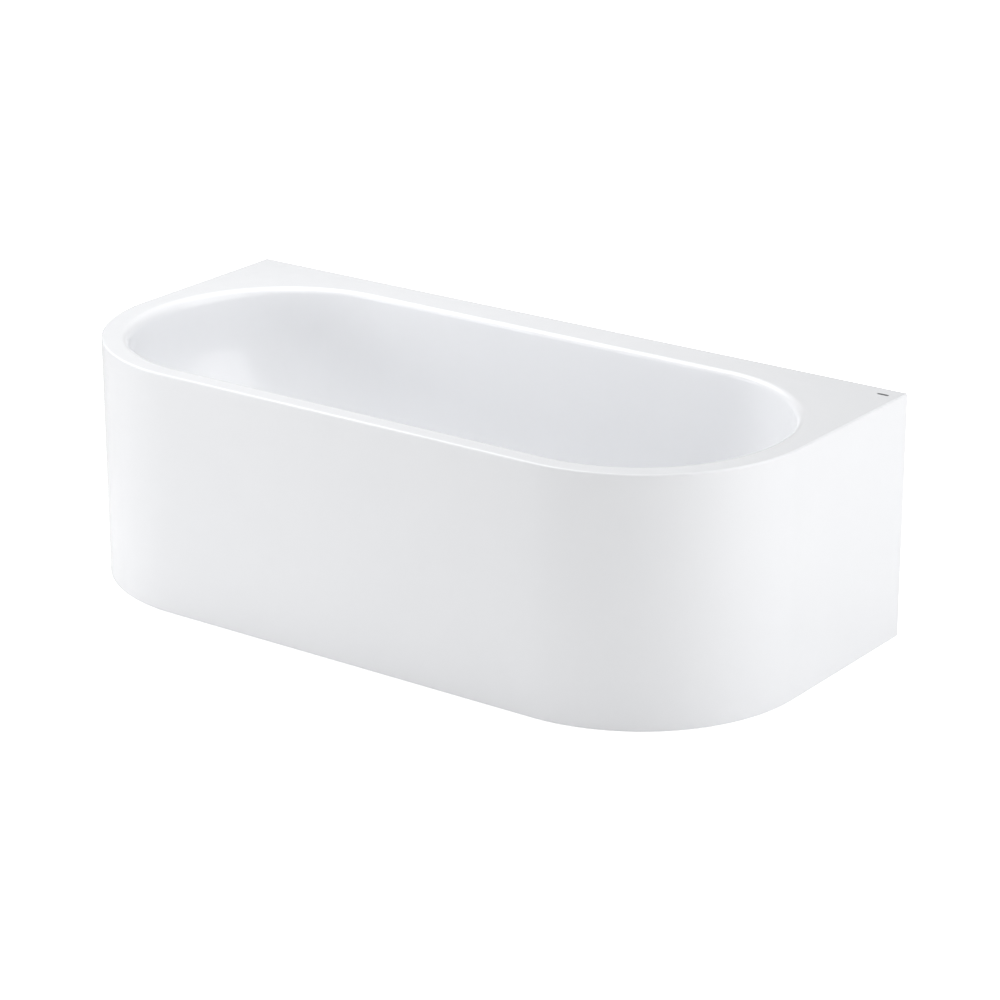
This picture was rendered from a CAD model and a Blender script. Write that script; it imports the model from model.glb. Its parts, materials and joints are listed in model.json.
import json
import math

import bpy
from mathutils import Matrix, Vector


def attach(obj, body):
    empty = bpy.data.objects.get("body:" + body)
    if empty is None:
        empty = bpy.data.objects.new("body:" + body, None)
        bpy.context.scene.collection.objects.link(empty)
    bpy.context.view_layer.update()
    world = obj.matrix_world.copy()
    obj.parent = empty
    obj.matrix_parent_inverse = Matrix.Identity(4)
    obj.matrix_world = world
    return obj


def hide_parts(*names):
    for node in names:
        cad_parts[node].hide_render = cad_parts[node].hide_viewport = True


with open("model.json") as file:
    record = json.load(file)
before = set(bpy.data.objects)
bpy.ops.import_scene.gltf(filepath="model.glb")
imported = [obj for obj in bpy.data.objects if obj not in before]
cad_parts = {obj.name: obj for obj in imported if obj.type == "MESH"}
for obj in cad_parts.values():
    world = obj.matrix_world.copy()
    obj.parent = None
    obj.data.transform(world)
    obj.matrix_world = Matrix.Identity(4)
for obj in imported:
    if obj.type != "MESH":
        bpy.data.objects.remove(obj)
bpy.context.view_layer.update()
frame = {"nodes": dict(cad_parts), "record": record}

# Sizes of the bath in metres. X runs along the wall, Y towards it, Z up.
HALF_LENGTH = 0.9
HEIGHT = 0.57
FRONT_Y = -0.425
REAR_Y = 0.423
CORNER_RADIUS = 0.4
BASIN_X = HALF_LENGTH - CORNER_RADIUS
BASIN_Y = FRONT_Y + CORNER_RADIUS
BASIN_RADIUS = 0.347
SHEET = 0.005
ROLL_RADIUS = 0.013
ROLL_END_ACROSS = 0.009
ROLL_END_DOWN = 0.014
ROLL_FADE_Z = 0.42
MOUTH_DRAW = 0.008
EDGE_RADIUS = 0.0045
REAR_EDGE_RADIUS = 0.0015
DECK_UNDER = 0.565
CURVE_TOP = 0.55
FLOOR_Z = 0.16
LIP_Z = 0.53
SKIRT_GAP = 0.0025
END_REACH = 0.33
SIDE_REACH = 0.15
WASTE_BOSS_Z = 0.152
WASTE_BOSS_RADIUS = 0.045
WASTE_HOLE_RADIUS = 0.026
SEAT_EDGE_RADIUS = 0.0385
SEAT_RADIUS = 0.037
SEAT_DEPTH = 0.003
UNDERSIDE_DROP = 0.0046
OVERFLOW_Z = 0.475
OVERFLOW_HOLE_RADIUS = 0.026
PLATE_LENGTH = 0.028
PLATE_WIDTH = 0.008
PLATE_INSET = 0.039
PLATE_CLEARANCE = 0.0004
PLATE_PLACE = (HALF_LENGTH - PLATE_INSET, REAR_Y - PLATE_INSET)
KNOB_RADIUS = 0.036
SCALLOP_RADIUS = 0.015
SCALLOP_DEPTH = 0.004
WASTE_BODY_RADIUS = 0.036
HOSE_Y = -0.398
HOSE_Z = 0.128
HOSE_TOP = 0.436
HOSE_BEND = 0.075
HOSE_SOCKET_LENGTH = 0.024
HOSE_SOCKET_DEPTH = 0.012
ROLL_STEPS = 16
WALL_STEPS = 72
UNDERSIDE_STEPS = 24


# Node helpers


def add_node(tree, kind, inputs=None, **settings):
    """Adds a shader node; an input is a plain value or another node's socket."""
    made = tree.nodes.new("ShaderNode" + kind)
    for name, value in settings.items():
        setattr(made, name, value)
    for name, value in (inputs or {}).items():
        if isinstance(value, bpy.types.NodeSocket):
            tree.links.new(value, made.inputs[name])
        else:
            made.inputs[name].default_value = value
    return made


def mix_colour(tree, share, first, second):
    """Blends two colours by a share."""
    return add_node(tree, "Mix", {0: share, 6: first, 7: second}, data_type="RGBA").outputs[2]


def noise(tree, where, scale, detail=2.0, roughness=0.5, distortion=0.0):
    """Soft noise from 0 to 1 at a place."""
    inputs = {"Vector": where, "Scale": scale, "Detail": detail}
    inputs |= {"Roughness": roughness, "Distortion": distortion}
    return add_node(tree, "TexNoise", inputs).outputs[0]


def spread(tree, value, low, high, to_low=0.0, to_high=1.0):
    """Stretches a value from one range to another, held at its ends."""
    inputs = {0: value, 1: low, 2: high, 3: to_low, 4: to_high}
    return add_node(tree, "MapRange", inputs).outputs[0]


def stretched(tree, where, scale):
    """A place scaled by different amounts along X, Y and Z."""
    return add_node(tree, "Mapping", {"Vector": where, "Scale": scale}).outputs[0]


def effect(name, inputs, outputs):
    """A shared effect: an empty node group with named inputs and outputs."""
    tree = bpy.data.node_groups.new(name, "ShaderNodeTree")
    for label, value in inputs.items():
        kind = "NodeSocketColor" if isinstance(value, tuple) else "NodeSocketFloat"
        tree.interface.new_socket(label, in_out="INPUT", socket_type=kind).default_value = value
    for label, kind in outputs.items():
        tree.interface.new_socket(label, in_out="OUTPUT", socket_type="NodeSocket" + kind)
    start, end = tree.nodes.new("NodeGroupInput"), tree.nodes.new("NodeGroupOutput")
    place = add_node(tree, "TexCoord").outputs["Object"]
    return tree, place, start.outputs, end.inputs


def shared_ripple():
    """Slow unevenness of a surface, as a normal."""
    wanted = {"Normal": "Vector"}
    tree, place, given, result = effect("surface_ripple", {"Size": 8.0, "Depth": 0.0002}, wanted)
    height = noise(tree, place, given["Size"], 3.0)
    bump = add_node(tree, "Bump", {"Height": height, "Distance": given["Depth"], "Strength": 1.0})
    tree.links.new(bump.outputs[0], result["Normal"])
    return tree


def shared_grain():
    """Fine moulded or cast grain, as a normal and a mask."""
    wanted = {"Normal": "Vector", "Mask": "Float"}
    tree, place, given, result = effect("fine_grain", {"Size": 900.0, "Depth": 0.00005}, wanted)
    height = noise(tree, place, given["Size"], 2.0, 0.6)
    bump = add_node(tree, "Bump", {"Height": height, "Distance": given["Depth"], "Strength": 1.0})
    tree.links.new(bump.outputs[0], result["Normal"])
    tree.links.new(height, result["Mask"])
    return tree


def shared_drift():
    """Slow drift between two colours, with the mask that makes it."""
    given = {"First": (0.8, 0.8, 0.8, 1.0), "Second": (0.7, 0.7, 0.7, 1.0), "Size": 6.0, "Contrast": 0.2}
    tree, place, given, result = effect("colour_drift", given, {"Colour": "Color", "Mask": "Float"})
    cloud = noise(tree, place, given["Size"], 4.0, 0.55)
    low = add_node(tree, "Math", {0: 0.5, 1: given["Contrast"]}, operation="SUBTRACT").outputs[0]
    high = add_node(tree, "Math", {0: 0.5, 1: given["Contrast"]}, operation="ADD").outputs[0]
    mask = spread(tree, cloud, low, high)
    tree.links.new(mix_colour(tree, mask, given["First"], given["Second"]), result["Colour"])
    tree.links.new(mask, result["Mask"])
    return tree


def shared_wipe():
    """Faint wiping marks that change the gloss, as a roughness."""
    tree, place, given, result = effect("wiping_marks", {"Low": 0.08, "High": 0.14}, {"Roughness": "Float"})
    cloud = noise(tree, place, 3.0, 4.0, 0.6, 0.4)
    streaks = noise(tree, stretched(tree, place, (6.0, 6.0, 60.0)), 4.0, 3.0, 0.6)
    both = add_node(tree, "Math", {0: cloud, 1: streaks}, operation="MULTIPLY").outputs[0]
    tree.links.new(spread(tree, both, 0.12, 0.42, given["Low"], given["High"]), result["Roughness"])
    return tree


def shared_dust():
    """Dust that settles on faces that look up, as a mask."""
    tree, place, given, result = effect("settled_dust", {"Amount": 0.3}, {"Mask": "Float"})
    upward = add_node(tree, "SeparateXYZ", {0: add_node(tree, "NewGeometry").outputs["Normal"]}).outputs[2]
    level = spread(tree, upward, 0.3, 0.95)
    cloud = spread(tree, noise(tree, place, 14.0, 5.0, 0.65), 0.3, 0.7)
    dust = add_node(tree, "Math", {0: level, 1: cloud}, operation="MULTIPLY").outputs[0]
    amount = add_node(tree, "Math", {0: dust, 1: given["Amount"]}, operation="MULTIPLY").outputs[0]
    tree.links.new(amount, result["Mask"])
    return tree


EFFECTS = {
    "ripple": shared_ripple(),
    "grain": shared_grain(),
    "drift": shared_drift(),
    "wipe": shared_wipe(),
    "dust": shared_dust(),
}


def use(tree, name, **values):
    """Places a shared effect in a material with its own values."""
    placed = tree.nodes.new("ShaderNodeGroup")
    placed.node_tree = EFFECTS[name]
    for label, value in values.items():
        placed.inputs[label].default_value = value
    return placed.outputs


def new_material(name, **constants):
    """A material with its Principled shader and object coordinates."""
    material = bpy.data.materials.new(name)
    material.use_nodes = True
    tree = material.node_tree
    shader = tree.nodes["Principled BSDF"]
    for label, value in constants.items():
        shader.inputs[label.replace("_", " ")].default_value = value
    place = add_node(tree, "TexCoord").outputs["Object"]
    return material, tree, shader, place


def feed(tree, shader, **sources):
    """Links colours, roughness or normals into the shader."""
    for label, source in sources.items():
        tree.links.new(source, shader.inputs[label.replace("_", " ")])


def bumped(tree, height, distance, normal=None):
    """A normal raised by a height, over another normal if there is one."""
    inputs = {"Height": height, "Distance": distance, "Strength": 1.0}
    if normal is not None:
        inputs["Normal"] = normal
    return add_node(tree, "Bump", inputs).outputs[0]


# Finishes


def gloss_acrylic():
    """Glossy white sanitary acrylic, vacuum formed and lightly wiped."""
    material, tree, shader, _ = new_material(
        "gloss_white_acrylic", IOR=1.49, Coat_Weight=0.1, Coat_Roughness=0.12
    )
    white = use(tree, "drift", First=(0.855, 0.862, 0.879, 1), Second=(0.844, 0.852, 0.87, 1), Size=3.5)
    gloss = use(tree, "wipe", Low=0.2, High=0.27)
    ripple = use(tree, "ripple", Size=5.0, Depth=0.00025)
    feed(tree, shader, Base_Color=white["Colour"], Roughness=gloss["Roughness"], Normal=ripple["Normal"])
    return material


def glass_fibre():
    """Sprayed glass-fibre resin: cream, with chopped strands and drips."""
    material, tree, shader, place = new_material("sprayed_glass_fibre", IOR=1.5)
    cream, pale = (0.66, 0.64, 0.54, 1), (0.78, 0.77, 0.69, 1)
    base = use(tree, "drift", First=cream, Second=pale, Size=9.0, Contrast=0.25)
    strands = None
    for turn in (0.3, 1.4, 2.4):
        rotation = (turn, turn * 0.7, turn * 1.3)
        turned = add_node(tree, "Mapping", {"Vector": place, "Rotation": rotation}).outputs[0]
        streak = noise(tree, stretched(tree, turned, (420.0, 420.0, 26.0)), 1.0, 1.0, 0.4)
        streak = spread(tree, streak, 0.56, 0.66)
        if strands is None:
            strands = streak
        else:
            strands = add_node(tree, "Math", {0: strands, 1: streak}, operation="MAXIMUM").outputs[0]
    colour = mix_colour(tree, strands, base["Colour"], (0.84, 0.84, 0.78, 1))
    lumps = noise(tree, place, 60.0, 4.0, 0.6)
    rough = spread(tree, lumps, 0.3, 0.7, 0.3, 0.6)
    normal = bumped(tree, strands, 0.0006, bumped(tree, lumps, 0.004))
    feed(tree, shader, Base_Color=colour, Roughness=rough, Normal=normal)
    return material


def galvanised_steel():
    """Hot-dip galvanised steel with zinc spangle."""
    material, tree, shader, place = new_material("galvanised_steel", Metallic=0.9)
    cells = add_node(tree, "TexVoronoi", {"Vector": place, "Scale": 90.0, "Randomness": 1.0})
    tone = add_node(tree, "SeparateColor", {0: cells.outputs["Color"]}).outputs[0]
    cloud = noise(tree, place, 22.0, 4.0, 0.6)
    spangle = mix_colour(tree, tone, (0.5, 0.52, 0.54, 1), (0.66, 0.68, 0.7, 1))
    aged = mix_colour(tree, spread(tree, cloud, 0.45, 0.7), spangle, (0.58, 0.6, 0.61, 1))
    dust = use(tree, "dust", Amount=0.35)
    colour = mix_colour(tree, dust["Mask"], aged, (0.72, 0.71, 0.68, 1))
    rough = spread(tree, tone, 0.0, 1.0, 0.32, 0.5)
    normal = bumped(tree, cloud, 0.0004, bumped(tree, tone, 0.00008))
    feed(tree, shader, Base_Color=colour, Roughness=rough, Normal=normal)
    return material


def bright_zinc():
    """Bright zinc plating on screws, studs and nuts."""
    material, tree, shader, place = new_material("bright_zinc_plate", Metallic=1.0)
    warm, cool = (0.7, 0.7, 0.68, 1), (0.62, 0.63, 0.66, 1)
    base = use(tree, "drift", First=warm, Second=cool, Size=60.0, Contrast=0.2)
    rough = spread(tree, noise(tree, place, 140.0, 3.0), 0.3, 0.7, 0.2, 0.36)
    grain = use(tree, "grain", Size=1500.0, Depth=0.00003)
    feed(tree, shader, Base_Color=base["Colour"], Roughness=rough, Normal=grain["Normal"])
    return material


def chrome_plate():
    """Polished chrome plate over a cast body."""
    material, tree, shader, place = new_material("chrome_plate", Metallic=1.0)
    light, dark = (0.83, 0.84, 0.86, 1), (0.79, 0.8, 0.82, 1)
    base = use(tree, "drift", First=light, Second=dark, Size=30.0, Contrast=0.2)
    rough = spread(tree, noise(tree, place, 40.0, 4.0), 0.35, 0.7, 0.04, 0.09)
    ripple = use(tree, "ripple", Size=45.0, Depth=0.00004)
    feed(tree, shader, Base_Color=base["Colour"], Roughness=rough, Normal=ripple["Normal"])
    return material


def turned_steel():
    """Turned stainless steel with fine tool rings."""
    material, tree, shader, place = new_material("turned_stainless_steel", Metallic=1.0)
    rings = noise(tree, stretched(tree, place, (200.0, 1200.0, 1200.0)), 1.0, 2.0)
    colour = mix_colour(tree, rings, (0.66, 0.66, 0.65, 1), (0.75, 0.75, 0.74, 1))
    rough = spread(tree, rings, 0.3, 0.7, 0.2, 0.34)
    feed(tree, shader, Base_Color=colour, Roughness=rough, Normal=bumped(tree, rings, 0.00003))
    return material


def moulded_plastic(name, light, dark, low, high):
    """Injection-moulded plastic with a slight grain and handling marks."""
    material, tree, shader, place = new_material(name, IOR=1.5)
    base = use(tree, "drift", First=(*light, 1), Second=(*dark, 1), Size=18.0, Contrast=0.22)
    dust = use(tree, "dust", Amount=0.12)
    colour = mix_colour(tree, dust["Mask"], base["Colour"], (0.6, 0.59, 0.56, 1))
    rough = spread(tree, noise(tree, place, 55.0, 4.0, 0.6), 0.3, 0.7, low, high)
    grain = use(tree, "grain", Size=1100.0, Depth=0.00006)
    feed(tree, shader, Base_Color=colour, Roughness=rough, Normal=grain["Normal"])
    return material


def foam_tape():
    """Closed-cell foam strip with its small open cells."""
    material, tree, shader, place = new_material("seal_foam", IOR=1.45)
    cells = add_node(tree, "TexVoronoi", {"Vector": place, "Scale": 900.0}).outputs["Distance"]
    base = use(tree, "drift", First=(0.7, 0.71, 0.73, 1), Second=(0.62, 0.63, 0.65, 1), Size=20.0)
    colour = mix_colour(tree, spread(tree, cells, 0.0, 0.4), (0.5, 0.51, 0.53, 1), base["Colour"])
    rough = spread(tree, cells, 0.0, 0.6, 0.75, 0.92)
    feed(tree, shader, Base_Color=colour, Roughness=rough, Normal=bumped(tree, cells, 0.0003))
    return material


def chipboard():
    """Particle board: pressed flakes of several tans under a thin seal of resin."""
    material, tree, shader, place = new_material("particle_board", IOR=1.45)
    flat = stretched(tree, place, (1.0, 1.0, 3.0))
    flakes = add_node(tree, "TexVoronoi", {"Vector": flat, "Scale": 260.0, "Randomness": 1.0})
    tone = add_node(tree, "SeparateColor", {0: flakes.outputs["Color"]}).outputs
    tan = mix_colour(tree, tone[0], (0.42, 0.29, 0.17, 1), (0.68, 0.52, 0.34, 1))
    dark = mix_colour(tree, spread(tree, tone[1], 0.82, 0.9), tan, (0.26, 0.16, 0.09, 1))
    dust = use(tree, "dust", Amount=0.25)
    colour = mix_colour(tree, dust["Mask"], dark, (0.66, 0.62, 0.55, 1))
    rough = spread(tree, tone[2], 0.0, 1.0, 0.55, 0.8)
    height = noise(tree, flat, 320.0, 3.0, 0.6)
    feed(tree, shader, Base_Color=colour, Roughness=rough, Normal=bumped(tree, height, 0.0003))
    return material


def softwood():
    """Planed softwood with growth rings along the batten."""
    material, tree, shader, place = new_material("planed_softwood", IOR=1.45)
    long_grain = stretched(tree, place, (1.2, 14.0, 14.0))
    wobble = noise(tree, long_grain, 2.0, 3.0)
    inputs = {"Vector": long_grain, "Scale": 3.2, "Distortion": 3.5, "Detail": 3.0, "Detail Scale": 1.2}
    rings = add_node(tree, "TexWave", inputs, wave_type="BANDS", bands_direction="DIAGONAL").outputs[1]
    fibre = noise(tree, stretched(tree, place, (18.0, 900.0, 900.0)), 1.0, 3.0)
    colour = mix_colour(tree, spread(tree, rings, 0.35, 0.95), (0.72, 0.54, 0.33, 1), (0.5, 0.32, 0.16, 1))
    colour = mix_colour(tree, spread(tree, wobble, 0.4, 0.8), colour, (0.66, 0.48, 0.28, 1))
    rough = spread(tree, fibre, 0.3, 0.7, 0.5, 0.72)
    normal = bumped(tree, fibre, 0.00025, bumped(tree, rings, 0.0002))
    feed(tree, shader, Base_Color=colour, Roughness=rough, Normal=normal)
    return material


def satin_plate():
    """Satin grey metal with a faint brushed grain along its length."""
    material, tree, shader, place = new_material("satin_grey_plate", Metallic=0.75)
    grain = noise(tree, stretched(tree, place, (150.0, 2600.0, 2600.0)), 1.0, 2.0)
    colour = mix_colour(tree, grain, (0.2, 0.205, 0.215, 1), (0.27, 0.275, 0.285, 1))
    rough = spread(tree, grain, 0.3, 0.7, 0.34, 0.48)
    feed(tree, shader, Base_Color=colour, Roughness=rough, Normal=bumped(tree, grain, 0.00002))
    return material


FINISHES = {
    "gloss_white": gloss_acrylic(),
    "glass_fibre": glass_fibre(),
    "plate_grey": satin_plate(),
    "chipboard": chipboard(),
    "timber": softwood(),
    "galvanised_steel": galvanised_steel(),
    "zinc_plate": bright_zinc(),
    "chrome": chrome_plate(),
    "stainless": turned_steel(),
    "black_rubber": moulded_plastic(
        "moulded_black_rubber", (0.035, 0.035, 0.036), (0.05, 0.05, 0.05), 0.55, 0.75
    ),
    "seal_foam": foam_tape(),
    "black_plastic": moulded_plastic(
        "black_polyamide", (0.04, 0.04, 0.043), (0.055, 0.055, 0.058), 0.35, 0.5
    ),
    "white_plastic": moulded_plastic("white_polypropylene", (0.76, 0.77, 0.77), (0.7, 0.71, 0.72), 0.3, 0.45),
    "grey_plastic": moulded_plastic("grey_union_nut", (0.36, 0.38, 0.4), (0.31, 0.33, 0.35), 0.35, 0.5),
    "hose_grey": moulded_plastic(
        "ribbed_hose_grey", (0.52, 0.54, 0.56), (0.46, 0.48, 0.5), 0.35, 0.5
    ),
    "cable_black": moulded_plastic(
        "black_cable_sheath", (0.03, 0.03, 0.033), (0.045, 0.045, 0.048), 0.3, 0.45
    ),
}


# Shape helpers


def shade(mesh, degrees=35.0):
    """Smooth shading that keeps edges over an angle crisp."""
    mesh.shade_smooth()
    mesh.set_sharp_from_angle(angle=math.radians(degrees))


def piece(name, vertices, faces, slot, nodes, body="bath", degrees=35.0):
    """A dressed piece that stands for CAD nodes and rides on their body."""
    mesh = bpy.data.meshes.new(name)
    mesh.from_pydata([tuple(v) for v in vertices], [], faces)
    mesh.validate()
    shade(mesh, degrees)
    made = bpy.data.objects.new(name, mesh)
    bpy.context.scene.collection.objects.link(made)
    mesh.materials.append(FINISHES[slot])
    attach(made, body)
    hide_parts(*nodes)
    return made


def skin(rings, closed_rings=True, closed_ends=False):
    """Vertices and faces of a skin over a row of rings of equal count."""
    count = len(rings[0])
    vertices = [point for ring in rings for point in ring]
    rows = len(rings)
    faces = []
    for row in range(rows if closed_ends else rows - 1):
        here, there = row * count, (row + 1) % rows * count
        for i in range(count if closed_rings else count - 1):
            j = (i + 1) % count
            faces.append((here + i, here + j, there + j, there + i))
    return vertices, faces


def join(*parts):
    """Joins several pairs of vertices and faces into one."""
    vertices, faces = [], []
    for more_vertices, more_faces in parts:
        start = len(vertices)
        vertices.extend(more_vertices)
        faces.extend(tuple(i + start for i in face) for face in more_faces)
    return vertices, faces


def lathe(profile, centre, axis="Z", steps=64, closed=True):
    """A turned form. The profile holds pairs of radius and distance along the axis."""
    rings = []
    for radius, along in profile:
        ring = []
        for i in range(steps):
            turn = 2 * math.pi * i / steps
            a, b = radius * math.cos(turn), radius * math.sin(turn)
            if axis == "Z":
                ring.append((centre[0] + a, centre[1] + b, centre[2] + along))
            else:
                ring.append((centre[0] + b, centre[1] + along, centre[2] + a))
        rings.append(ring)
    return skin(rings, closed_ends=closed)


def arc(middle, radius, start, end, steps):
    """Pairs along a circle, between two angles in degrees."""
    for i in range(steps + 1):
        angle = math.radians(start + (end - start) * i / steps)
        yield middle[0] + radius * math.cos(angle), middle[1] + radius * math.sin(angle)


def cut(target, vertices, faces):
    """Cuts a closed form out of a piece."""
    mesh = bpy.data.meshes.new("cutter")
    mesh.from_pydata(vertices, [], faces)
    cutter = bpy.data.objects.new("cutter", mesh)
    bpy.context.scene.collection.objects.link(cutter)
    modifier = target.modifiers.new("cut", "BOOLEAN")
    modifier.operation = "DIFFERENCE"
    modifier.solver = "EXACT"
    modifier.object = cutter
    bpy.context.view_layer.update()
    evaluated = target.evaluated_get(bpy.context.evaluated_depsgraph_get())
    result = bpy.data.meshes.new_from_object(evaluated)
    target.modifiers.clear()
    old = target.data
    target.data = result
    bpy.data.objects.remove(cutter)
    bpy.data.meshes.remove(mesh)
    bpy.data.meshes.remove(old)
    shade(target.data)


# Bath shell and skirt


def corner_angle():
    """The angle at which a line from the arc centre meets the rear corner."""
    return math.atan2(REAR_Y - BASIN_Y, CORNER_RADIUS)


def arc_angles(steps=72):
    """Angles from front to rear round one end, with one exactly at the rear corner."""
    angles = [-math.pi / 2 + math.pi * i / steps for i in range(steps + 1)]
    nearest = min(range(len(angles)), key=lambda i: abs(angles[i] - corner_angle()))
    angles[nearest] = corner_angle()
    return angles


def plan_samples(straight_steps=40):
    """Places round the basin: share of the half straight, then the outward direction."""
    shares = [2 * i / straight_steps - 1 for i in range(1, straight_steps)]
    front = [(share, 0.0, -1.0) for share in shares]
    right = [(1.0, math.cos(a), math.sin(a)) for a in arc_angles()]
    rear = [(-share, 0.0, 1.0) for share in shares]
    left = [(-1.0, -math.cos(a), math.sin(a)) for a in reversed(arc_angles())]
    return front + right + rear + left


SAMPLES = plan_samples()


def basin_ring(half_straight, radius, z):
    """One level of the basin."""
    return [(s * half_straight + nx * radius, BASIN_Y + ny * radius, z) for s, nx, ny in SAMPLES]


def rim_point(sample, inset, rear_inset):
    """A place on the D-shaped outline, drawn in by different amounts at the front and at the rear."""
    share, nx, ny = sample
    if ny <= 0:
        radius = CORNER_RADIUS - inset
        return share * BASIN_X + nx * radius, BASIN_Y + ny * radius
    reach_x, reach_y = CORNER_RADIUS - inset, REAR_Y - rear_inset - BASIN_Y
    if abs(share) < 1:
        return share * BASIN_X, BASIN_Y + reach_y
    slope = ny / max(abs(nx), 1e-9)
    if slope <= math.tan(corner_angle()) + 1e-9:
        along = slope * CORNER_RADIUS * reach_y / (REAR_Y - BASIN_Y)
        return share * BASIN_X + math.copysign(reach_x, nx), BASIN_Y + along
    across = (REAR_Y - BASIN_Y) / slope * reach_x / CORNER_RADIUS
    return share * BASIN_X + math.copysign(across, nx), BASIN_Y + reach_y


def rim_ring(inset, rear_inset, z):
    """One level of the outer edge of the shell."""
    return [(*rim_point(sample, inset, rear_inset), z) for sample in SAMPLES]


def lean(share, grow=0.0):
    """Half straight and radius of the basin at a share of its depth."""
    end = END_REACH * (1 - math.sqrt(max(0.0, 1 - share**2)))
    side = SIDE_REACH * (1 - max(0.0, 1 - share**3) ** (1 / 3))
    return BASIN_X + side - end, BASIN_RADIUS + grow - side


def round_floor_ring(radius, z, blend=1.0):
    """A ring on the basin floor, between the floor's outline and a circle round the waste."""
    half_straight, floor_radius = lean(1.0)
    ring = []
    for x, y, _ in basin_ring(half_straight, floor_radius, z):
        reach = math.hypot(x, y - BASIN_Y)
        circle = (x / reach * radius, BASIN_Y + (y - BASIN_Y) / reach * radius)
        ring.append((x + (circle[0] - x) * blend, y + (circle[1] - y) * blend, z))
    return ring


def end_share(nx):
    """How far a direction belongs to an end: 0 on the straight sides, 1 at the tip of an end."""
    return nx * nx


def roll_ring(turn):
    """One level of the rolled edge of the basin, which is fuller at both ends."""
    ring = []
    for s, nx, ny in SAMPLES:
        end = end_share(nx)
        mouth = BASIN_RADIUS + ROLL_RADIUS - MOUTH_DRAW * end
        across, down = ROLL_RADIUS + ROLL_END_ACROSS * end, ROLL_RADIUS + ROLL_END_DOWN * end
        radius = mouth - across * math.sin(turn)
        ring.append((s * BASIN_X + nx * radius, BASIN_Y + ny * radius, HEIGHT - down * (1 - math.cos(turn))))
    return ring


def wall_ring(fall):
    """One level of the basin wall, from below the rolled edge (0) to the floor (1)."""
    ring = []
    for s, nx, ny in SAMPLES:
        end = end_share(nx)
        start = min(CURVE_TOP, HEIGHT - ROLL_RADIUS - ROLL_END_DOWN * end - 0.002)
        z = start - fall * (start - FLOOR_Z)
        half_straight, radius = lean(max(0.0, (CURVE_TOP - z) / (CURVE_TOP - FLOOR_Z)))
        fade_height = HEIGHT - ROLL_END_DOWN - ROLL_RADIUS - ROLL_FADE_Z
        fade = min(1.0, max(0.0, (z - ROLL_FADE_Z) / fade_height))
        radius -= (MOUTH_DRAW + ROLL_END_ACROSS) * end * fade * fade * (3 - 2 * fade)
        ring.append((s * half_straight + nx * radius, BASIN_Y + ny * radius, z))
    return ring


def shell_rings():
    """All levels of the shell, from the lip over the deck and down the basin, then back up underneath."""
    rings = [rim_ring(SHEET, 0.0, LIP_Z), rim_ring(SHEET, 0.0, DECK_UNDER)]
    rings += [rim_ring(0.0, 0.0, DECK_UNDER), rim_ring(0.0, 0.0, DECK_UNDER + 0.0003)]
    for i in range(9):
        turn = math.radians(90 * i / 8)
        front, rear = EDGE_RADIUS * (1 - math.cos(turn)), REAR_EDGE_RADIUS * (1 - math.cos(turn))
        rings.append(rim_ring(front, rear, HEIGHT - EDGE_RADIUS * (1 - math.sin(turn))))
    for support in (0.001, 0.004):
        rings.append(rim_ring(EDGE_RADIUS + support, REAR_EDGE_RADIUS + support, HEIGHT))
    for support in (0.012, 0.004, 0.001):
        rings.append(basin_ring(BASIN_X, BASIN_RADIUS + ROLL_RADIUS + support, HEIGHT))
    rings += [roll_ring(math.radians(90 * i / ROLL_STEPS)) for i in range(ROLL_STEPS + 1)]
    rings += [wall_ring(math.sin(math.pi / 2 * i / WALL_STEPS)) for i in range(1, WALL_STEPS + 1)]
    for blend in (0.2, 0.45, 0.7, 0.87):
        rings.append(round_floor_ring(SEAT_EDGE_RADIUS, FLOOR_Z, blend))
    seat_z = FLOOR_Z - SEAT_DEPTH
    for radius, z in (
        (SEAT_EDGE_RADIUS, FLOOR_Z),
        (0.0374, FLOOR_Z - 0.0004),
        (SEAT_RADIUS, FLOOR_Z - 0.001),
        (SEAT_RADIUS, seat_z),
        (WASTE_HOLE_RADIUS, seat_z),
        (WASTE_HOLE_RADIUS, WASTE_BOSS_Z),
        (WASTE_BOSS_RADIUS, WASTE_BOSS_Z),
        (WASTE_BOSS_RADIUS, FLOOR_Z - SHEET),
    ):
        rings.append(round_floor_ring(radius, z))
    for i in range(UNDERSIDE_STEPS, -1, -1):
        share = math.sin(math.pi / 2 * i / UNDERSIDE_STEPS)
        level = CURVE_TOP - share * (CURVE_TOP - FLOOR_Z + UNDERSIDE_DROP)
        rings.append(basin_ring(*lean(share, UNDERSIDE_DROP), level))
    rings.append(basin_ring(BASIN_X, BASIN_RADIUS + 0.005, 0.557))
    rings.append(basin_ring(BASIN_X, BASIN_RADIUS + 0.0078, DECK_UNDER))
    rings += [rim_ring(0.009, 0.004, DECK_UNDER), rim_ring(0.009, 0.004, LIP_Z)]
    return rings


def pill(length, width, steps=24):
    """Half straight and round ends of a small slot shape, as plan pairs."""
    half, radius = (length - width) / 2, width / 2
    right = [(half + radius * math.cos(a), radius * math.sin(a)) for a in
             (math.radians(-90 + 180 * i / steps) for i in range(steps + 1))]
    return right + [(-x, -y) for x, y in right]


def pill_block(centre, length, width, bottom, top):
    """A closed block with a pill-shaped plan."""
    outline = pill(length, width)
    low = [(centre[0] + x, centre[1] + y, bottom) for x, y in outline]
    high = [(centre[0] + x, centre[1] + y, top) for x, y in outline]
    vertices, faces = skin([low, high])
    count = len(outline)
    return vertices, faces + [tuple(reversed(range(count))), tuple(range(count, 2 * count))]


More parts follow.
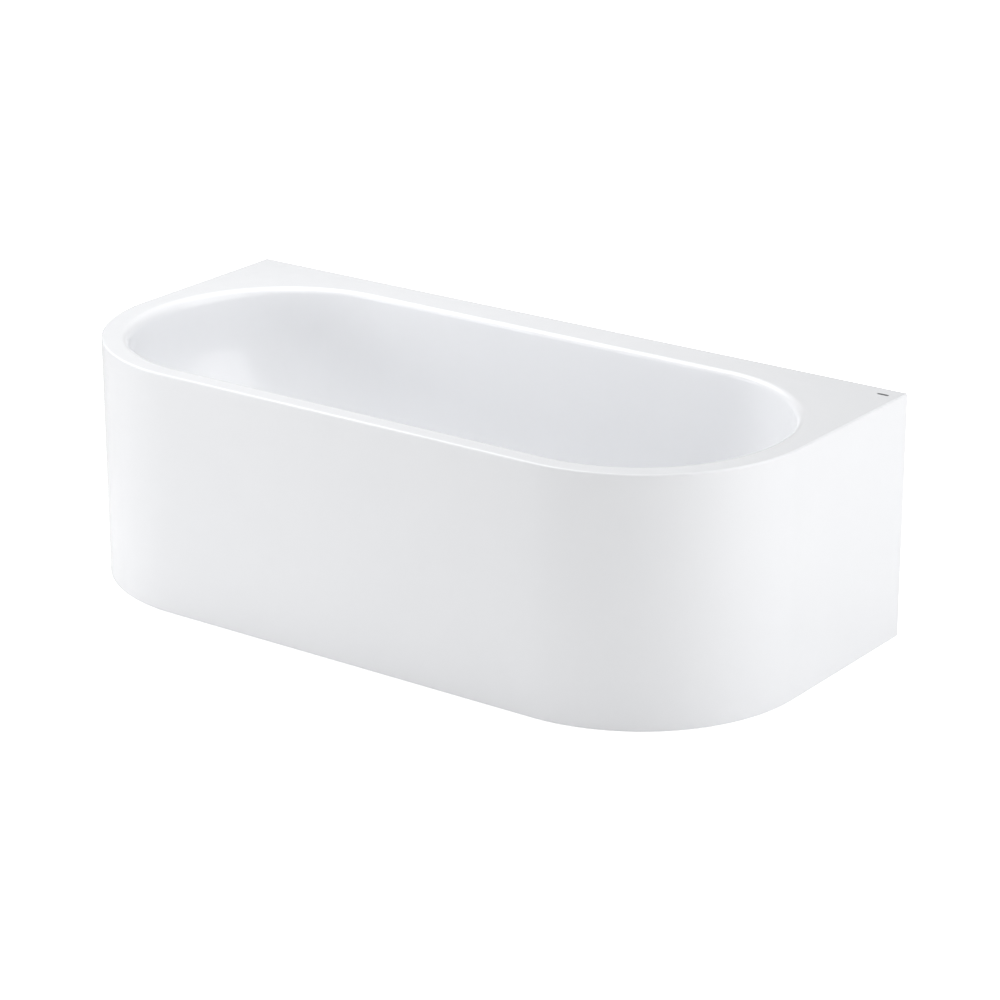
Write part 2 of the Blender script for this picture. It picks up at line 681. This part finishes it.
def build_shell():
    """The shell with its overflow hole and the seat of the rim plate."""
    form = skin(shell_rings(), closed_ends=True)
    shell = piece("bath_shell_acrylic", *form, "gloss_white", ["bath_shell"])
    steps = 64
    centre = (0, BASIN_Y - BASIN_RADIUS, OVERFLOW_Z)
    bore = [(OVERFLOW_HOLE_RADIUS, -0.03), (OVERFLOW_HOLE_RADIUS, 0.03)]
    vertices, faces = lathe(bore, centre, "Y", steps, False)
    faces += [tuple(range(steps)), tuple(reversed(range(steps, 2 * steps)))]
    cut(shell, vertices, faces)
    length, width = PLATE_LENGTH + PLATE_CLEARANCE, PLATE_WIDTH + PLATE_CLEARANCE
    cut(shell, *pill_block(PLATE_PLACE, length, width, HEIGHT - 0.0007, HEIGHT + 0.001))
    return shell


def build_rim_plate():
    """Blank pill-shaped plate with a softened edge."""
    rings = []
    for inset, z in ((0.0, 0.5694), (0.0, 0.5698), (0.0001, 0.56995), (0.0003, 0.57)):
        outline = pill(PLATE_LENGTH - 2 * inset, PLATE_WIDTH - 2 * inset)
        rings.append([(PLATE_PLACE[0] + x, PLATE_PLACE[1] + y, z) for x, y in outline])
    vertices, faces = skin(rings)
    count = len(rings[0])
    faces += [tuple(reversed(range(count))), tuple(range(3 * count, 4 * count))]
    piece("rim_plate_blank", vertices, faces, "plate_grey", ["rim_plate"])


def skirt_path(inset, rear):
    """Plan of the skirt from its left rear end round the front to its right rear end."""
    half, radius = HALF_LENGTH - inset, CORNER_RADIUS - inset
    side = [rear + (BASIN_Y - rear) * i / 16 for i in range(16)]
    points = [(-half, y) for y in side]
    points += [(-BASIN_X + x, BASIN_Y + y) for x, y in arc((0, 0), radius, 180, 270, 64)]
    points += [(x, BASIN_Y - radius) for x in (BASIN_X * (2 * i / 40 - 1) for i in range(1, 40))]
    points += [(BASIN_X + x, BASIN_Y + y) for x, y in arc((0, 0), radius, 270, 360, 64)]
    return points + [(half, y) for y in reversed(side)]


def build_skirt():
    """The skirt as one moulded sheet with a bottom flange and two rear returns."""
    soft = 0.0008
    profile = [(0.03, SKIRT_GAP), (soft * 2, SKIRT_GAP), (soft, SKIRT_GAP)]
    profile += [(soft - soft * math.sin(math.radians(a)), SKIRT_GAP + soft - soft * math.cos(math.radians(a)))
                for a in (22.5, 45.0, 67.5, 90.0)]
    profile += [(0.0, SKIRT_GAP + 2 * soft), (0.0, 0.06), (0.0, 0.2), (0.0, 0.4), (0.0, DECK_UNDER)]
    profile += [(SHEET, DECK_UNDER), (SHEET, 0.3), (SHEET, 0.0075), (0.03, 0.0075)]
    rings = [[(*point, z) for point in skirt_path(inset, REAR_Y)] for inset, z in profile]
    vertices, faces = skin(rings, closed_rings=False, closed_ends=True)
    count = len(rings[0])
    faces.append(tuple(i * count for i in range(len(rings))))
    faces.append(tuple(i * count + count - 1 for i in reversed(range(len(rings)))))
    returns = []
    for side in (-1, 1):
        x = sorted((side * (HALF_LENGTH - SHEET), side * (HALF_LENGTH - SHEET - 0.03)))
        returns.append(block(x, (REAR_Y - SHEET, REAR_Y), (SKIRT_GAP, LIP_Z - 0.001)))
    return piece("skirt_moulding", *join((vertices, faces), *returns), "gloss_white", ["skirt"])


def block(x, y, z):
    """A plain closed block between pairs of coordinates, used inside other pieces."""
    vertices = [(a, b, c) for c in z for b in y for a in x]
    faces = [(0, 2, 3, 1), (4, 5, 7, 6), (0, 1, 5, 4), (2, 6, 7, 3), (0, 4, 6, 2), (1, 3, 7, 5)]
    return vertices, faces


# Fittings


def build_stud(name, x, y, top):
    """Threaded stud with a real helix, in a zinc finish."""
    pitch, steps, per_turn = 0.00175, 24, 6
    bottom, crest, root = 0.008, 0.006, 0.00527
    rows = int((top - bottom) / pitch * per_turn)
    rings = [[(x, y, bottom)] * steps]
    for row in range(rows + 1):
        z = bottom + (top - bottom) * row / rows
        ring = []
        for i in range(steps):
            phase = ((z - bottom) / pitch - i / steps) % 1
            height = min(1.0, max(0.0, 1.15 - 2.3 * abs(phase - 0.5)))
            radius = root + (crest - root) * height
            taper = min(1.0, (top - z) / 0.001 + 0.82)
            turn = 2 * math.pi * i / steps
            ring.append((x + radius * taper * math.cos(turn), y + radius * taper * math.sin(turn), z))
        rings.append(ring)
    rings.append([(x, y, top)] * steps)
    node = f"foot_stud_{name}"
    return piece(f"threaded_{node}", *skin(rings), "zinc_plate", [node], f"foot_{name}", 60.0)


def build_pad(name, x, y):
    """Plastic foot pad with a rounded rim and a raised neck."""
    profile = [(0.0063, 0.008), (0.0, 0.008), (0.0, 0.0), (0.0288, 0.0)]
    profile += list(arc((0.0288, 0.0012), 0.0012, -90, 0, 4))
    profile += list(arc((0.0285, 0.0037), 0.0015, 0, 68, 4))
    profile += [(0.0135, 0.0113), (0.0124, 0.0122), (0.012, 0.0135), (0.012, 0.0208)]
    profile += list(arc((0.0108, 0.0208), 0.0012, 0, 90, 4))
    profile += [(0.0063, 0.022)]
    node = f"foot_pad_{name}"
    return piece(f"moulded_{node}", *lathe(profile, (x, y, 0)), "black_plastic", [node], f"foot_{name}")


def hex_nut(x, y, bottom, flats=0.019, height=0.01, bore=0.00605):
    """A hexagon nut with chamfered corners and a countersunk thread."""
    steps = 60
    half = flats / 2

    def reach(i):
        angle = (360 * i / steps) % 60 - 30
        return half / math.cos(math.radians(angle))

    def ring(radii, z):
        return [
            (x + r * math.cos(2 * math.pi * i / steps), y + r * math.sin(2 * math.pi * i / steps), bottom + z)
            for i, r in enumerate(radii)
        ]

    def side(z, sign):
        return [
            (px, py, pz + sign * (reach(i) - half) * 0.577)
            for i, (px, py, pz) in enumerate(ring([reach(j) for j in range(steps)], z))
        ]

    flat = [half] * steps
    mouth = [bore + 0.0008] * steps
    hole = [bore] * steps
    rings = [ring(mouth, 0.0), ring(flat, 0.0), side(0.0, 1), side(height, -1), ring(flat, height)]
    rings += [ring(mouth, height), ring(hole, height - 0.0008), ring(hole, 0.0008)]
    return skin(rings, closed_ends=True)


def build_nuts(places):
    """Weld nuts under the frame and lock nuts below them."""
    for row, node in ((1, "foot_weld_nuts"), (2, "foot_lock_nuts")):
        nuts = []
        for name, x, y in places:
            seat = 0.13 if name == "middle" else 0.104
            nuts.append(hex_nut(x, y, seat - row * 0.01))
        piece(f"hexagon_{node}", *join(*nuts), "zinc_plate", [node], "bath", 25.0)


def knob_outline(steps=180):
    """Radius of the knob round its edge, with three finger scallops, softened where they start."""
    reach = KNOB_RADIUS + SCALLOP_RADIUS - SCALLOP_DEPTH
    radii = []
    for i in range(steps):
        turn = 2 * math.pi * i / steps
        radius = KNOB_RADIUS
        for k in range(3):
            centre = math.radians(90 + 120 * k)
            apart = (turn - centre + math.pi) % (2 * math.pi) - math.pi
            across = reach * math.sin(apart)
            if abs(across) < SCALLOP_RADIUS and math.cos(apart) > 0:
                hollow = math.sqrt(SCALLOP_RADIUS**2 - across**2)
                radius = min(radius, reach * math.cos(apart) - hollow)
        radii.append(radius)
    return [sum(radii[(i + k) % steps] for k in (-2, -1, 0, 1, 2)) / 5 for i in range(steps)]


def build_knob():
    """Chromed turning knob with rounded edges and a slightly dished face."""
    back = BASIN_Y - BASIN_RADIUS + 0.003 + 0.002 + 0.006
    radii = knob_outline()
    steps = len(radii)

    def ring(inset, along, squeeze=1.0):
        return [
            ((r - inset) * squeeze * math.cos(2 * math.pi * i / steps), back + along,
             OVERFLOW_Z + (r - inset) * squeeze * math.sin(2 * math.pi * i / steps))
            for i, r in enumerate(radii)
        ]

    rings = [ring(0.0, 0.0, 0.0001), ring(0.002, 0.0), ring(0.0006, 0.0003)]
    rings += [ring(0.0, 0.001), ring(0.0, 0.008)]
    for a in range(15, 91, 15):
        turn = math.radians(a)
        rings.append(ring(0.004 * (1 - math.cos(turn)), 0.008 + 0.004 * math.sin(turn)))
    rings += [ring(0.0055, 0.01195), ring(0.007, 0.0117), ring(0.0085, 0.01155)]
    rings += [ring(0.0085, 0.0116, squeeze) for squeeze in (0.7, 0.4, 0.15, 0.0001)]
    piece("chromed_overflow_knob", *skin(rings), "chrome", ["overflow_knob"], "overflow_control", 50.0)


def build_plug_cap():
    """Domed plug cap with a rolled edge."""
    under = FLOOR_Z - SEAT_DEPTH + 0.0015 + 0.0025 + 0.0003
    profile = [(0.00001, 0.0), (0.0285, 0.0), (0.0296, 0.0004)]
    profile += [(0.03, 0.0012), (0.0298, 0.0021), (0.029, 0.0027)]
    for radius in (0.027, 0.024, 0.02, 0.015, 0.01, 0.005, 0.00001):
        profile.append((radius, 0.0055 - 0.00333 * (radius / 0.03) ** 2))
    form = lathe(profile, (0, BASIN_Y, under), steps=96)
    piece("domed_plug_cap", *form, "chrome", ["plug_cap"], "plug", 60.0)


def hose_line():
    """Places and directions along the middle of the overflow hose."""
    end = BASIN_Y - WASTE_BODY_RADIUS - HOSE_SOCKET_LENGTH + HOSE_SOCKET_DEPTH
    down = HOSE_TOP - HOSE_Z - HOSE_BEND
    curve = math.pi / 2 * HOSE_BEND
    total = down + curve + end - (HOSE_Y + HOSE_BEND)
    steps = int(total / 0.001)
    for i in range(steps + 1):
        run = total * i / steps
        if run < down:
            yield run, (0, HOSE_Y, HOSE_TOP - run), (0, 0, -1)
        elif run < down + curve:
            turn = (run - down) / HOSE_BEND
            y = HOSE_Y + HOSE_BEND * (1 - math.cos(turn))
            z = HOSE_Z + HOSE_BEND - HOSE_BEND * math.sin(turn)
            yield run, (0, y, z), (0, math.sin(turn), -math.cos(turn))
        else:
            yield run, (0, HOSE_Y + HOSE_BEND + run - down - curve, HOSE_Z), (0, 1, 0)


def build_hose():
    """Ribbed overflow hose with plain cuffs at both ends."""
    steps, pitch, cuff = 32, 0.0042, 0.014
    line = list(hose_line())
    length = line[-1][0]
    outer, inner = [], []
    for run, place, ahead in line:
        wave = 0.5 + 0.5 * math.cos(2 * math.pi * run / pitch)
        rib = 0.0122 + 0.0018 * wave**0.6
        if min(run, length - run) < cuff:
            rib = 0.0138
        ahead = Vector(ahead)
        side = Vector((1, 0, 0))
        up = ahead.cross(side)
        for rings, radius in ((outer, rib), (inner, 0.0116)):
            rings.append([
                tuple(Vector(place) + side * radius * math.cos(t) + up * radius * math.sin(t))
                for t in (2 * math.pi * i / steps for i in range(steps))
            ])
    form = skin(outer + inner[::-1], closed_ends=True)
    piece("ribbed_overflow_hose", *form, "hose_grey", ["overflow_hose"], "bath", 70.0)


# Dressing the rest


def dress_cad_nodes(record):
    """Gives every CAD node its finish, and smooth shading where it stays in view."""
    slots = {row["node"]: row["material_slot"] for row in record["subparts"]}
    for name, node in frame["nodes"].items():
        node.data.materials.clear()
        node.data.materials.append(FINISHES[slots[name]])
        if node.hide_render:
            continue
        shade(node.data, 30.0)


FEET = [
    ("front_left", -0.43, -0.355, 0.15),
    ("rear_left", -0.43, 0.345, 0.15),
    ("front_right", 0.43, -0.355, 0.15),
    ("rear_right", 0.43, 0.345, 0.15),
    ("middle", 0.19, -0.025, 0.13),
]

build_shell()
build_skirt()
build_rim_plate()
build_knob()
build_plug_cap()
build_hose()
for foot, foot_x, foot_y, stud_top in FEET:
    build_stud(foot, foot_x, foot_y, stud_top)
    build_pad(foot, foot_x, foot_y)
build_nuts([row[:3] for row in FEET])
dress_cad_nodes(frame["record"])


# Floor, light and camera


def build_floor():
    """A pale floor that reaches to the horizon and glows for the camera alone."""
    mesh = bpy.data.meshes.new("pale_floor")
    reach = 60.0
    corners = [(-reach, -reach, 0), (reach, -reach, 0), (reach, reach, 0), (-reach, reach, 0)]
    mesh.from_pydata(corners, [], [(0, 1, 2, 3)])
    floor = bpy.data.objects.new("pale_floor", mesh)
    bpy.context.scene.collection.objects.link(floor)
    material, tree, shader, place = new_material("pale_floor_finish")
    base = use(tree, "drift", First=(0.9, 0.9, 0.9, 1), Second=(0.88, 0.88, 0.88, 1), Size=1.5)
    rough = spread(tree, noise(tree, place, 30.0, 3.0), 0.3, 0.7, 0.6, 0.75)
    feed(tree, shader, Base_Color=base["Colour"], Roughness=rough)
    shader.inputs["Emission Color"].default_value = (1.0, 1.0, 1.0, 1.0)
    seen = add_node(tree, "LightPath").outputs["Is Camera Ray"]
    feed(tree, shader, Emission_Strength=spread(tree, seen, 0.0, 1.0, 0.0, FLOOR_GLOW))
    mesh.materials.append(material)


LIGHTS = {
    "right_softbox": ((4.4, 0.6, 1.9), (0.0, 0.0, 0.4), (5.0, 3.6), 130.8),
    "front_top_softbox": ((0.2, -2.0, 3.8), (0.0, 0.0, 0.4), (5.0, 2.6), 30.0),
    "top_softbox": ((-0.2, 0.8, 3.8), (0.0, 0.0, 0.3), (5.0, 2.6), 40.0),
    "front_softbox": ((0.8, -5.0, 1.9), (0.0, 0.0, 0.4), (4.0, 3.2), 20.4),
    "high_left_softbox": ((-3.6, 0.1, 3.0), (0.3, 0.0, 0.4), (3.4, 3.0), 40.1),
    "inner_softbox": ((-0.8, 0.0, 2.4), (0.9, 0.0, 0.4), (1.6, 1.6), 22.2),
    "low_corner_softbox": ((-3.4, -3.6, 0.9), (0.0, 0.0, 0.3), (3.4, 1.7), 81.0),
}
WORLD_STRENGTH = 0.18
FLOOR_GLOW = 0.9


def add_lights():
    """Large soft boxes round the bath, in a surround that the camera sees as white."""
    for name, (place, target, size, power) in LIGHTS.items():
        data = bpy.data.lights.new(name, "AREA")
        data.shape = "RECTANGLE"
        data.size, data.size_y = size
        data.energy = power
        light = bpy.data.objects.new(name, data)
        light.location = place
        light.rotation_euler = (Vector(target) - Vector(place)).to_track_quat("-Z", "Y").to_euler()
        light.visible_camera = False
        bpy.context.scene.collection.objects.link(light)
    world = bpy.data.worlds.new("pale_surround")
    world.use_nodes = True
    tree = world.node_tree
    background = tree.nodes["Background"]
    background.inputs["Color"].default_value = (1.0, 1.0, 1.0, 1.0)
    seen = add_node(tree, "LightPath").outputs["Is Camera Ray"]
    tree.links.new(spread(tree, seen, 0.0, 1.0, WORLD_STRENGTH, 1.0), background.inputs["Strength"])
    bpy.context.scene.world = world


CAMERA_PLACE = (4.354, -5.846, 2.914)
CAMERA_YAW = 0.6274
CAMERA_PITCH = 0.3497
CAMERA_FOCAL = 3.448


def add_camera():
    """A long lens, high on the right of the front."""
    data = bpy.data.cameras.new("camera")
    data.sensor_width = 36.0
    data.lens = 36.0 * CAMERA_FOCAL
    camera = bpy.data.objects.new("camera", data)
    camera.location = CAMERA_PLACE
    camera.rotation_euler = (math.pi / 2 - CAMERA_PITCH, 0.0, CAMERA_YAW)
    bpy.context.scene.collection.objects.link(camera)
    bpy.context.scene.camera = camera


build_floor()
add_lights()
add_camera()
bpy.context.scene.view_settings.view_transform = "Standard"
